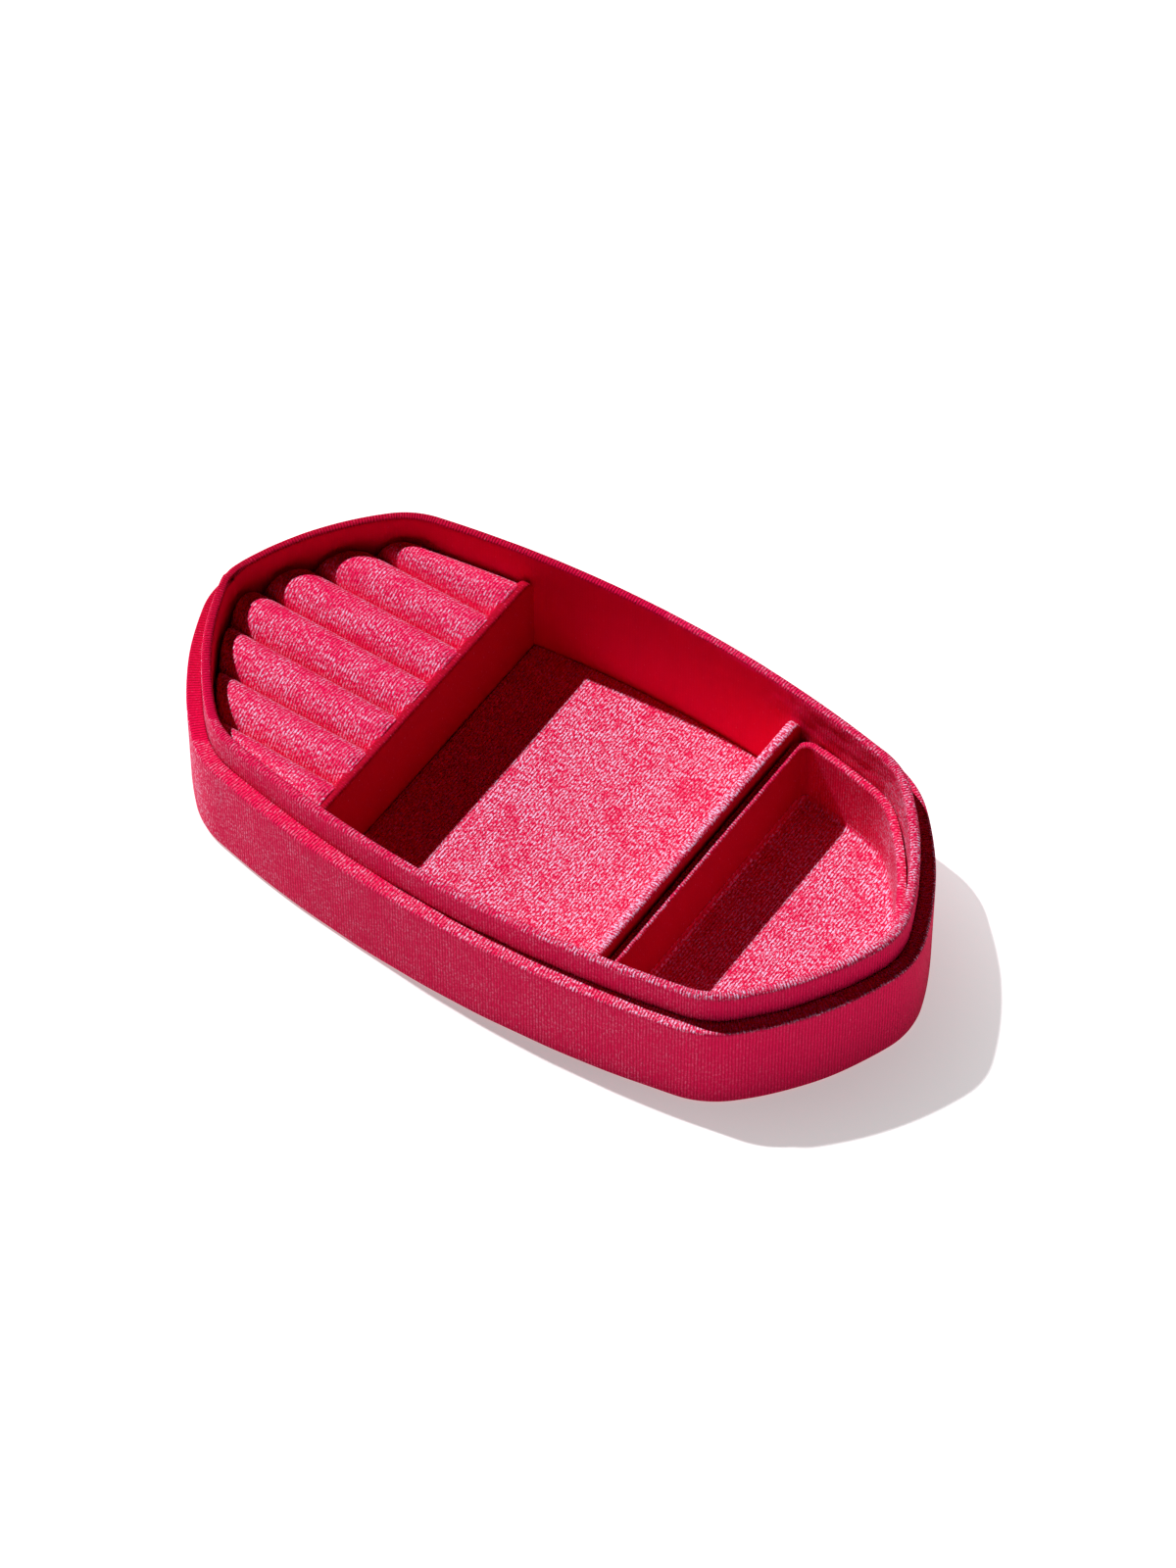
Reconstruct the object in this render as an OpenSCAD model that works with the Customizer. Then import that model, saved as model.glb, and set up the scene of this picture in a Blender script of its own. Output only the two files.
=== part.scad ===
// Open ring box: a velvet-covered shoulder box with a raised neck, two dividers,
// a lift-out insert of ring rolls and a lift-out end tray.
// +X runs along the box, +Z is up, and the origin is the middle of the underside.

/* [Outline] */
// Overall length, end to end
box_len = 230; // [190:1:280]
// Overall width, across the long sides
box_wid = 123.5; // [100:0.5:150]
// Radius of the rounding at each end
end_r = 24; // [15:0.5:32]
// Radius of the rounding at the four side corners
corner_r = 29.5; // [20:0.5:36]
// Direction of the outline's normal where an end's rounding stops
end_turn = 19; // [14:1:24]
// Direction of the outline's normal where a side corner starts
corner_from = 46; // [40:1:52]
// Direction of the outline's normal where a side corner stops
corner_to = 78; // [74:1:82]

/* [Heights] */
// Height of the ledge, which is the top of the outer wall
ledge_h = 31.2; // [24:0.2:40]
// How far the neck stands above the ledge
neck_rise = 9.8; // [6:0.2:14]
// Top of the dividers, below the neck's top
divider_drop = 9; // [5:0.5:14]
// Top of the ring rolls, below the neck's top
roll_drop = 8; // [5:0.5:14]
// Rim of the end tray, below the neck's top
tray_drop = 13; // [8:0.5:18]

/* [Boards] */
// Thickness of the outer wall board, which is also the width of the ledge
wall_t = 4.5; // [3:0.1:6]
// Thickness of the neck board
neck_t = 2; // [1.2:0.1:3]
// Thickness of the bottom board
base_t = 2; // [1.5:0.1:3]
// Thickness of a divider board
divider_t = 2.4; // [1.5:0.1:3.5]
// Thickness of the card under the middle compartment's floor
floor_card_t = 1; // [0.6:0.1:2]
// Thickness of the board that carries the ring rolls
insert_t = 1.5; // [1:0.1:3]
// Thickness of the end tray's wall board
tray_wall_t = 1.4; // [1:0.1:2.5]
// Thickness of the end tray's bottom board
tray_base_t = 1.2; // [1:0.1:2.5]
// Thickness of the card under the end tray's floor
tray_card_t = 0.5; // [0.4:0.1:1.5]

/* [Covering] */
// Thickness of the velvet
velvet_t = 0.5; // [0.4:0.05:0.8]
// Width of the velvet that is turned in under the bottom
turn_in = 12; // [8:0.5:18]
// Thickness of the underside sheet
sheet_t = 0.4; // [0.3:0.05:0.8]
// Distance from the box's edge to the underside sheet's edge
sheet_margin = 3; // [1.5:0.5:6]
// Radius on the long top edges of a divider's cover
divider_edge_r = 1; // [0.9:0.05:1.2]
// Radius on the two top corners of a divider
divider_corner_r = 3.5; // [2:0.5:6]

/* [Layout] */
// Middle of the left divider, from the middle of the box
left_divider_x = -45; // [-60:0.5:-30]
// Middle of the right divider, from the middle of the box
right_divider_x = 44; // [30:0.5:60]
// Number of ring rolls
roll_count = 7; // [5:1:8]
// Radius of the end tray's two corners beside the divider
tray_corner_r = 5; // [3:0.5:8]

/* [Clearances] */
// Gap round the middle compartment's floor pad
floor_gap = 0.2; // [0.1:0.05:0.5]
// Gap between neighbouring ring rolls
roll_gap = 0.1; // [0.05:0.05:0.3]
// Gap round the ring insert
insert_gap = 0.5; // [0.4:0.05:1]
// Gap between the end tray and the neck
tray_gap = 0.5; // [0.4:0.05:1]
// Gap between the end tray and the right divider
tray_side_gap = 1.1; // [0.5:0.1:2]
// Gap round the velvet floor inside the end tray
tray_floor_gap = 0.1; // [0.05:0.05:0.3]
// Gap under each lift-out piece
seat_gap = 0.2; // [0.1:0.05:0.3]

/* [Hidden] */
$fn = 64;
// A cut runs this far past the face it opens
past = 1;

// Steps in each arc of a quarter of the outline: end, end face, side corner, long side
arc_steps = [5, 8, 8, 8];
tray_corner_steps = 9;

// The end faces and the long sides are shallow arcs. Their radii make the four tangent arcs
// of a quarter outline reach exactly half the length and half the width.
face_dx = cos(end_turn) - cos(corner_from);
face_dy = sin(corner_from) - sin(end_turn);
side_dx = cos(corner_to);
side_dy = 1 - sin(corner_to);
rest_x = box_len / 2 - end_r * (1 - cos(end_turn)) - corner_r * (cos(corner_from) - side_dx);
rest_y = box_wid / 2 - end_r * sin(end_turn) - corner_r * (sin(corner_to) - sin(corner_from));
spread = face_dx * side_dy - side_dx * face_dy;
face_r = (rest_x * side_dy - side_dx * rest_y) / spread;
side_r = (face_dx * rest_y - face_dy * rest_x) / spread;

end_c = [box_len / 2 - end_r, 0];
face_c = end_c + (end_r - face_r) * heading(end_turn);
corner_c = face_c + (face_r - corner_r) * heading(corner_from);
side_c = corner_c + (corner_r - side_r) * heading(corner_to);

// Levels, from the underside up
base_z = sheet_t + velvet_t;
base_top = base_z + base_t;
neck_top = ledge_h + neck_rise;
divider_top = neck_top - divider_drop;
roll_top = neck_top - roll_drop;
tray_top = neck_top - tray_drop;
seat_z = base_top + seat_gap;
floor_top = base_top + floor_card_t + velvet_t;
insert_top = seat_z + insert_t;
tray_base_top = seat_z + tray_base_t;
tray_floor_top = tray_base_top + tray_card_t + velvet_t;

// Distances in from the box's outer face
wall_in = velvet_t;
neck_out = wall_in + wall_t;
neck_in = neck_out + neck_t;
lining_in = neck_in + velvet_t;
neck_skin_out = neck_out - velvet_t;
insert_in = lining_in + insert_gap;
tray_in = lining_in + tray_gap;

// Lines across the box
divider_half = divider_t / 2 + velvet_t;
bay_x = left_divider_x - divider_half - insert_gap;
tray_x = right_divider_x + divider_half + tray_side_gap;
roll_pitch = 2 * half_width(bay_x, insert_in) / roll_count;
roll_r = (roll_pitch - roll_gap) / 2;

// The tray's corner arc touches its straight wall and the long side's arc
tray_corner_x = tray_x + tray_corner_r;
tray_corner_y = half_width(tray_corner_x, tray_in + tray_corner_r);
tray_turn = atan2(tray_corner_y - side_c[1], tray_corner_x);

board_grey = [0.62, 0.60, 0.57];
foam_cream = [0.93, 0.90, 0.82];
paper_black = [0.12, 0.11, 0.12];
velvet_red = [0.80, 0.06, 0.24];
velvet_pink = [0.88, 0.22, 0.40];

function heading(a) = [cos(a), sin(a)];

// Points of an arc about c, from direction a0 up to but not including a1
function arc(c, r, a0, a1, steps) =
    [for (i = [0:steps - 1]) c + r * heading(a0 + (a1 - a0) * i / steps)];

// Half the width of the outline, d inside the outer face, at x on the long side's arc
function half_width(x, d) = side_c[1] + sqrt(pow(side_r - d, 2) - pow(x, 2));

// The arcs before the long side's, d inside the outer face, from the end round to the corner
function end_arcs(d) = concat(
    arc(end_c, end_r - d, 0, end_turn, arc_steps[0]),
    arc(face_c, face_r - d, end_turn, corner_from, arc_steps[1]),
    arc(corner_c, corner_r - d, corner_from, corner_to, arc_steps[2]));

function quarter(d) = concat(
    end_arcs(d),
    arc(side_c, side_r - d, corner_to, 90, arc_steps[3]),
    [[0, box_wid / 2 - d]]);

// The whole outline, d inside the box's outer face
function outline(d) =
    let (q = quarter(d), n = len(q))
    concat(q,
        [for (i = [n - 2:-1:0]) [-q[i][0], q[i][1]]],
        [for (i = [1:n - 1]) [-q[i][0], -q[i][1]]],
        [for (i = [n - 2:-1:1]) [q[i][0], -q[i][1]]]);

// The end tray's outline, d inside its own outer face
function tray_outline(d) =
    let (side = concat(
            end_arcs(tray_in + d),
            arc(side_c, side_r - tray_in - d, corner_to, tray_turn, arc_steps[3]),
            arc([tray_corner_x, tray_corner_y], tray_corner_r - d, tray_turn, 180, tray_corner_steps),
            [[tray_x + d, tray_corner_y]]),
        n = len(side))
    concat(side, [for (i = [n - 1:-1:1]) [side[i][0], -side[i][1]]]);

// A plate of the box's outline, d inside its outer face, from z0 up to z1
module slab(d, z0, z1) {
    translate([0, 0, z0]) linear_extrude(z1 - z0) polygon(outline(d));
}

// A wall between two distances in from the box's outer face
module ring(d_out, d_in, z0, z1) {
    difference() {
        slab(d_out, z0, z1);
        slab(d_in, z0 - past, z1 + past);
    }
}

// A plate of the end tray's outline
module tray_slab(d, z0, z1) {
    translate([0, 0, z0]) linear_extrude(z1 - z0) polygon(tray_outline(d));
}

// Everything between two lines across the box, z0 up to z1
module span(x0, x1, z0, z1) {
    translate([x0, -box_wid, z0]) cube([x1 - x0, 2 * box_wid, z1 - z0]);
}

// Fixed box

module underside_sheet() {
    color(paper_black) slab(sheet_margin, 0, sheet_t);
}

module base_board() {
    color(board_grey) slab(neck_out, base_z, base_top);
}

module wall_board() {
    color(board_grey) ring(wall_in, neck_out, base_z, ledge_h - velvet_t);
}

module base_cover() {
    color(velvet_red) difference() {
        slab(0, sheet_t, ledge_h);
        slab(wall_in, base_z, ledge_h - velvet_t);
        slab(neck_skin_out, ledge_h - velvet_t - past, ledge_h + past);
        slab(turn_in, sheet_t - past, base_z + past);
    }
}

module neck_board() {
    color(board_grey) ring(neck_out, neck_in, base_top, neck_top - velvet_t);
}

module neck_cover() {
    color(velvet_red) difference() {
        union() {
            ring(neck_skin_out, lining_in, ledge_h - velvet_t, neck_top);
            ring(neck_in, lining_in, base_top, neck_top);
        }
        ring(neck_out, neck_in, base_top - past, neck_top - velvet_t);
    }
}

// An upright panel across the box at x, with its two top corners rounded
module upright(x, thick, half_w, z1, corner) {
    span_w = half_w - corner;
    translate([x - thick / 2, 0, 0]) {
        translate([0, -half_w, base_top]) cube([thick, 2 * half_w, z1 - corner - base_top]);
        translate([0, -span_w, base_top]) cube([thick, 2 * span_w, z1 - base_top]);
        for (side = [-1, 1])
            translate([0, side * span_w, z1 - corner]) rotate([0, 90, 0]) cylinder(h = thick, r = corner);
    }
}

module divider_board(x) {
    color(board_grey) intersection() {
        upright(x, divider_t, half_width(x, lining_in + velvet_t), divider_top - velvet_t,
            divider_corner_r - velvet_t);
        slab(lining_in + velvet_t, base_top, neck_top);
    }
}

// Cross-section of a covered divider, run along the box's width
module divider_profile(x) {
    edge_x = divider_half - divider_edge_r;
    edge_z = divider_top - divider_edge_r;
    span(x - divider_half, x + divider_half, base_top, edge_z);
    span(x - edge_x, x + edge_x, base_top, divider_top);
    for (side = [-1, 1])
        translate([x + side * edge_x, box_wid, edge_z]) rotate([90, 0, 0])
            cylinder(h = 2 * box_wid, r = divider_edge_r);
}

module divider_cover(x) {
    color(velvet_red) difference() {
        intersection() {
            upright(x, 2 * divider_half, half_width(x, lining_in), divider_top, divider_corner_r);
            divider_profile(x);
            slab(lining_in, base_top, neck_top);
        }
        divider_board(x);
    }
}

module divider_left_board() { divider_board(left_divider_x); }
module divider_left_cover() { divider_cover(left_divider_x); }
module divider_right_board() { divider_board(right_divider_x); }
module divider_right_cover() { divider_cover(right_divider_x); }

// The middle compartment's floor, in from the lining and the dividers by gap
module floor_plate(gap, z0, z1) {
    intersection() {
        slab(lining_in + gap, z0, z1);
        span(left_divider_x + divider_half + gap, right_divider_x - divider_half - gap, z0, z1);
    }
}

module floor_card() {
    color(board_grey) floor_plate(floor_gap + velvet_t, base_top, floor_top - velvet_t);
}

module floor_cover() {
    color(velvet_pink) difference() {
        floor_plate(floor_gap, base_top, floor_top);
        floor_plate(floor_gap + velvet_t, base_top - past, floor_top - velvet_t);
    }
}

// Ring insert

// The ring insert's outline, in from its own edge by d
module insert_plate(d, z0, z1) {
    intersection() {
        slab(insert_in + d, z0, z1);
        span(-box_len, bay_x - d, z0, z1);
    }
}

module insert_board() {
    color(board_grey) insert_plate(0, seat_z, insert_top);
}

// A bar with a half-round top, along the box, inside the insert's outline
module roll_bar(i, d, z0) {
    r = roll_r - d;
    y = (i - (roll_count + 1) / 2) * roll_pitch;
    z = roll_top - roll_r;
    intersection() {
        union() {
            translate([-box_len, y - r, z0]) cube([box_len, 2 * r, z - z0]);
            translate([-box_len, y, z]) rotate([0, 90, 0]) cylinder(h = box_len, r = r);
        }
        insert_plate(d, z0, roll_top);
    }
}

module roll_core(i) {
    color(foam_cream) roll_bar(i, velvet_t, insert_top);
}

module roll_cover(i) {
    color(velvet_pink) difference() {
        roll_bar(i, 0, insert_top);
        roll_bar(i, velvet_t, insert_top - past);
    }
}

// End tray

module tray_floor_board() {
    color(board_grey) tray_slab(velvet_t, seat_z, tray_base_top);
}

module tray_wall_board() {
    color(board_grey) difference() {
        tray_slab(velvet_t, tray_base_top, tray_top - velvet_t);
        tray_slab(velvet_t + tray_wall_t, tray_base_top - past, tray_top);
    }
}

module tray_cover() {
    lining = 2 * velvet_t + tray_wall_t;
    color(velvet_red) difference() {
        tray_slab(0, seat_z, tray_top);
        tray_slab(lining, seat_z - past, tray_top + past);
        tray_slab(velvet_t, seat_z - past, tray_base_top);
        tray_wall_board();
    }
}

module tray_floor_card() {
    lining = 2 * velvet_t + tray_wall_t;
    color(board_grey) tray_slab(lining + tray_floor_gap + velvet_t, tray_base_top,
        tray_floor_top - velvet_t);
}

module tray_floor_cover() {
    edge = 2 * velvet_t + tray_wall_t + tray_floor_gap;
    color(velvet_pink) difference() {
        tray_slab(edge, tray_base_top, tray_floor_top);
        tray_slab(edge + velvet_t, tray_base_top - past, tray_floor_top - velvet_t);
    }
}

underside_sheet();
base_board();
wall_board();
base_cover();
neck_board();
neck_cover();
divider_left_board();
divider_left_cover();
divider_right_board();
divider_right_cover();
floor_card();
floor_cover();
insert_board();
for (i = [1:roll_count]) {
    roll_core(i);
    roll_cover(i);
}
tray_floor_board();
tray_wall_board();
tray_cover();
tray_floor_card();
tray_floor_cover();
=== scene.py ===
import math

import bmesh
import bpy
import numpy as np
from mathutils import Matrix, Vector


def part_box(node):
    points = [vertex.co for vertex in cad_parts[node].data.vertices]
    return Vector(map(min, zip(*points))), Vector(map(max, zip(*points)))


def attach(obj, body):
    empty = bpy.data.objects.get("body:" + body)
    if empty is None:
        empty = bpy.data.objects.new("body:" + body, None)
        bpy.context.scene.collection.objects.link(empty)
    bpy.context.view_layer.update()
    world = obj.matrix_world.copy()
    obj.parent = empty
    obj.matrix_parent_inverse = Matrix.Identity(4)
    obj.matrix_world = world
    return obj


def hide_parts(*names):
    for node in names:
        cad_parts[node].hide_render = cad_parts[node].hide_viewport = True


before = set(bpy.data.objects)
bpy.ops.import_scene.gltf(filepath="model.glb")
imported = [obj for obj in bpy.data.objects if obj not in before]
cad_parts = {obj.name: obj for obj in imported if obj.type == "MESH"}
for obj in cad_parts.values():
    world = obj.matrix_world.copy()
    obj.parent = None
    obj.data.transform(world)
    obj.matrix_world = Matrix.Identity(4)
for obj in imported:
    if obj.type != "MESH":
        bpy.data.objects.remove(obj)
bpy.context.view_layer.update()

mm = 0.001

# ------------------------------------------------------------------------------------------
# Boards: the base, wall, neck, dividers, floor card, insert and tray are cut from greyboard,
# a dense recycled card with fine pale and dark fibres. The velvet is glued over all of them.

board_light = (0.46, 0.44, 0.41, 1)
board_dark = (0.30, 0.285, 0.265, 1)
board_fibre = 1.1 * mm


def wire(tree, kind, sockets=None, **settings):
    """Adds a shader node with its settings. In sockets, another node's socket is linked to the
    input of that name or number, and anything else is set as its value."""
    made = tree.nodes.new("ShaderNode" + kind)
    for name, value in settings.items():
        setattr(made, name, value)
    for key, value in (sockets or {}).items():
        if isinstance(value, bpy.types.NodeSocket):
            tree.links.new(value, made.inputs[key])
        else:
            made.inputs[key].default_value = value
    return made


def sum_of(tree, operation, *terms):
    """The result of one step of arithmetic on sockets and numbers."""
    return wire(tree, "Math", dict(enumerate(terms)), operation=operation).outputs[0]


def coat_of(name, **plain):
    """A new material, its node tree and its Principled shader, with plain values set on it."""
    made = bpy.data.materials.new(name)
    made.use_nodes = True
    surface = made.node_tree.nodes["Principled BSDF"]
    for key, value in plain.items():
        surface.inputs[key.replace("_", " ")].default_value = value
    return made, made.node_tree, surface


def greyboard():
    """Mottled grey card: two sizes of noise mix a light and a dark grey and roughen the face."""
    made, tree, surface = coat_of("greyboard", Roughness=0.9, Specular_IOR_Level=0.2)
    place = wire(tree, "TexCoord").outputs["Object"]
    fibre = wire(tree, "TexNoise", {"Vector": place, "Scale": 1 / board_fibre, "Detail": 6.0})
    cloud = wire(tree, "TexNoise", {"Vector": place, "Scale": 60.0, "Detail": 3.0})
    mixed = sum_of(tree, "MULTIPLY_ADD", cloud.outputs[0], 0.5, fibre.outputs[0])
    shade = wire(tree, "MapRange", {0: mixed, 1: 0.55, 2: 0.95})
    tint = wire(tree, "Mix", {0: shade.outputs[0], 6: board_dark, 7: board_light}, data_type="RGBA")
    tree.links.new(tint.outputs[2], surface.inputs["Base Color"])
    bump = wire(tree, "Bump", {"Height": mixed, "Distance": 0.08 * mm, "Strength": 0.6})
    tree.links.new(bump.outputs[0], surface.inputs["Normal"])
    return made


def dress(names, material):
    """Gives CAD pieces a material."""
    for name in names:
        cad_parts[name].material_slots[0].material = material


dress([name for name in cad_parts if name.endswith(("_board", "_card"))], greyboard())

# ------------------------------------------------------------------------------------------
# Underside sheet: black lining paper with a fine leather-like grain, glued over the turned-in
# edge of the velvet so that no raw edge shows underneath.


def lining_paper():
    """Black paper: small rounded pebbles from Voronoi cells, a little glossier on their tops."""
    made, tree, surface = coat_of("lining_paper", Specular_IOR_Level=0.35)
    place = wire(tree, "TexCoord").outputs["Object"]
    pebble = wire(tree, "TexVoronoi", {"Vector": place, "Scale": 1 / (0.7 * mm)})
    cloud = wire(tree, "TexNoise", {"Vector": place, "Scale": 45.0, "Detail": 4.0})
    tint = wire(tree, "Mix", {0: cloud.outputs[0], 6: (0.010, 0.009, 0.010, 1),
                              7: (0.032, 0.028, 0.031, 1)}, data_type="RGBA")
    tree.links.new(tint.outputs[2], surface.inputs["Base Color"])
    gloss = wire(tree, "MapRange", {0: pebble.outputs[0], 3: 0.5, 4: 0.75})
    tree.links.new(gloss.outputs[0], surface.inputs["Roughness"])
    bump = wire(tree, "Bump", {"Height": pebble.outputs[0], "Distance": -0.06 * mm, "Strength": 0.5})
    tree.links.new(bump.outputs[0], surface.inputs["Normal"])
    return made


dress(["underside_sheet"], lining_paper())

# ------------------------------------------------------------------------------------------
# Base cover: one strip of crimson knitted velvet, glued over the ledge, down the outer wall
# and under the bottom edge, where it is turned in. Its wales stand upright on the wall.

velvet_t = 0.5 * mm
cover_lo, cover_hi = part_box("base_cover")
neck_skin_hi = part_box("neck_cover")[1]

# The outline's shallow arcs follow from its length, its width and these roundings.
end_r = 24 * mm
corner_r = 29.5 * mm
end_turn = 19
corner_from = 46
corner_to = 78
turned_in = 12 * mm
ledge_edge_r = 0.9 * mm
bottom_edge_r = 1.0 * mm


def heading(degrees):
    """The unit vector in that direction."""
    return np.array([math.cos(math.radians(degrees)), math.sin(math.radians(degrees))])


def tangent_arcs(reach_x, reach_y):
    """(centre, radius, first and last direction) of the four arcs of a quarter outline.
    The end and the side corner have given radii. The end face's and the long side's radii solve
    two linear equations: the arcs' steps along x and y add up to reach_x and reach_y, half the
    length and half the width."""
    face_step = heading(end_turn) - heading(corner_from)
    side_step = heading(corner_to) - heading(90)
    rest = np.array([
        reach_x - end_r * (1 - heading(end_turn)[0])
        - corner_r * (heading(corner_from)[0] - heading(corner_to)[0]),
        -reach_y + end_r * heading(end_turn)[1]
        + corner_r * (heading(corner_to)[1] - heading(corner_from)[1])])
    face_r, side_r = np.linalg.solve(np.stack([face_step, side_step], 1), rest)
    end_c = np.array([reach_x - end_r, 0])
    face_c = end_c + (end_r - face_r) * heading(end_turn)
    corner_c = face_c + (face_r - corner_r) * heading(corner_from)
    side_c = corner_c + (corner_r - side_r) * heading(corner_to)
    return [(end_c, end_r, 0, end_turn), (face_c, face_r, end_turn, corner_from),
            (corner_c, corner_r, corner_from, corner_to), (side_c, side_r, corner_to, 90)]


box_arcs = tangent_arcs(cover_hi.x, cover_hi.y)


def arc(centre, radius, start, stop, step):
    """Points and outward normals of an arc: centre + radius (cos a, sin a), a from start to stop."""
    count = max(4, math.ceil(abs(radius * math.radians(stop - start)) / step))
    a = np.radians(np.linspace(start, stop, count + 1))
    out = np.stack([np.cos(a), np.sin(a)], 1)
    return np.hstack([centre + radius * out, out])


def mirrored(run, x=1, y=1):
    """A run of points and normals mirrored in x, y or both, and walked the same way round."""
    turned = run * [x, y, x, y]
    return turned[::-1] if x * y < 0 else turned


def joined(runs, step):
    """One closed outline of points and normals. Runs that meet share their end point, and a gap
    between two runs is a straight line, filled at the same step."""
    laid = []
    for run, following in zip(runs, runs[1:] + runs[:1]):
        gap = np.linalg.norm(following[0, :2] - run[-1, :2])
        laid.append(run[:-1] if gap < 1e-7 else run)
        count = math.ceil(gap / step)
        share = np.arange(1, count)[:, None] / max(count, 1)
        laid.append(run[-1] + share * (following[0] - run[-1]))
    return np.vstack(laid)


def box_outline(inset, step):
    """The box's plan outline, inset inside its outer face. Parallel arcs keep their centres."""
    quarter = [arc(c, r - inset, a0, a1, step) for c, r, a0, a1 in box_arcs]
    half = quarter + [mirrored(run, x=-1) for run in quarter[::-1]]
    return joined(half + [mirrored(run, x=-1, y=-1) for run in quarter]
                  + [mirrored(run, y=-1) for run in quarter[::-1]], step)


def lengths(points):
    """Distance travelled at each point of a closed run, with the whole way round at the end."""
    steps = np.linalg.norm(np.roll(points, -1, 0) - points, axis=1)
    return np.concatenate([[0], np.cumsum(steps)])


def folded(corners, step):
    """A closed profile of (inset, height) points from its corners (inset, height, radius). Each
    corner is an arc of that radius, tangent to both sides, and the sides are split into steps."""
    spots = np.array([c[:2] for c in corners])
    rounds = []
    for k, (here, radius) in enumerate(zip(spots, [c[2] for c in corners])):
        back = spots[k - 1] - here
        on = spots[(k + 1) % len(spots)] - here
        back, on = back / np.linalg.norm(back), on / np.linalg.norm(on)
        half_angle = math.acos(np.clip(back @ on, -1, 1)) / 2
        if radius == 0:
            rounds.append(here[None])
            continue
        centre = here + (back + on) / np.linalg.norm(back + on) * radius / math.sin(half_angle)
        first = here + back * radius / math.tan(half_angle) - centre
        last = here + on * radius / math.tan(half_angle) - centre
        start = math.atan2(first[1], first[0])
        turn = math.remainder(math.atan2(last[1], last[0]) - start, 2 * math.pi)
        a = start + turn * np.linspace(0, 1, 9)
        rounds.append(centre + radius * np.stack([np.cos(a), np.sin(a)], 1))
    laid = []
    for run, following in zip(rounds, rounds[1:] + rounds[:1]):
        count = max(1, math.ceil(np.linalg.norm(following[0] - run[-1]) / step))
        share = np.arange(1, count)[:, None] / count
        laid += [run, run[-1] + share * (following[0] - run[-1])]
    return np.vstack(laid)


def outwards(profile):
    """Unit normals of a closed profile in its own plane, turned away from what it encloses."""
    ahead, behind = np.roll(profile, -1, 0), np.roll(profile, 1, 0)
    along = (ahead - behind) / np.linalg.norm(ahead - behind, axis=1)[:, None]
    area = np.sum(profile[:, 0] * ahead[:, 1] - profile[:, 1] * ahead[:, 0])
    return np.stack([along[:, 1], -along[:, 0]], 1) * np.sign(area)


def carried(path, profile, lift=0.0):
    """Points [row, column] of a profile carried along an outline: outline - inset * normal, at the
    profile's height. lift moves each point along the profile's own normal."""
    lifts = np.broadcast_to(lift, (len(profile), len(path)))
    shaped = profile[:, None, :] + lifts[..., None] * outwards(profile)[:, None, :]
    flat = path[None, :, :2] - shaped[..., :1] * path[None, :, 2:]
    return np.dstack([flat, shaped[..., 1]])


def skin(name, points, along, across, closed=(True, True), bolt=0.0):
    """A mesh from a grid of points [row, column], where a closed direction joins its last line to
    its first. Its UV map "cloth" is metres of fabric, along the columns and across the rows, cut
    from the bolt of fabric at that distance. The faces look away from the volume they enclose."""
    rows, columns = points.shape[:2]
    i, j = np.meshgrid(np.arange(rows - 1 + closed[0]), np.arange(columns - 1 + closed[1]),
                       indexing="ij")
    row = np.stack([i, i, i + 1, i + 1], -1).reshape(-1, 4)
    column = np.stack([j, j + 1, j + 1, j], -1).reshape(-1, 4)
    faces = row % rows * columns + column % columns
    flat = points.reshape(-1, 3)
    a, b, c, d = (flat[faces[:, k]] for k in range(4))
    volume = np.einsum("ij,ij->", a, np.cross(b, c) + np.cross(c, d))
    turn = slice(None) if volume > 0 else slice(None, None, -1)
    faces, row, column = faces[:, turn], row[:, turn], column[:, turn]
    mesh = bpy.data.meshes.new(name)
    mesh.from_pydata(flat.tolist(), [], faces.tolist())
    shape = (rows + closed[0], columns + closed[1])
    u, v = np.broadcast_to(along, shape) + bolt, np.broadcast_to(across, shape) + bolt
    cloth = mesh.uv_layers.new(name="cloth")
    cloth.data.foreach_set("uv", np.stack([u[row, column], v[row, column]], -1).ravel())
    mesh.polygons.foreach_set("use_smooth", np.ones(len(mesh.polygons), bool))
    made = bpy.data.objects.new(name, mesh)
    bpy.context.scene.collection.objects.link(made)
    return made


def wander(way, size, waves, seed):
    """A gentle closed ripple along an outline: a few whole sine waves with seeded phases."""
    phase = np.random.default_rng(seed).uniform(0, 2 * math.pi, len(waves))
    turns = way[:-1, None] / way[-1] * np.array(waves) * 2 * math.pi
    return size * np.sin(turns + phase).mean(1)


# crimson is the cloth's own colour. The darker crimson stands for painted shade, and the pale pink
# for a painted highlight of the sunlit pile.
crimson = (1.0, 0.0010, 0.105, 1)
shade_crimson = (0.46, 0.0002, 0.016, 1)
highlight_pink = (1.0, 0.66, 0.98, 1)


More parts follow.
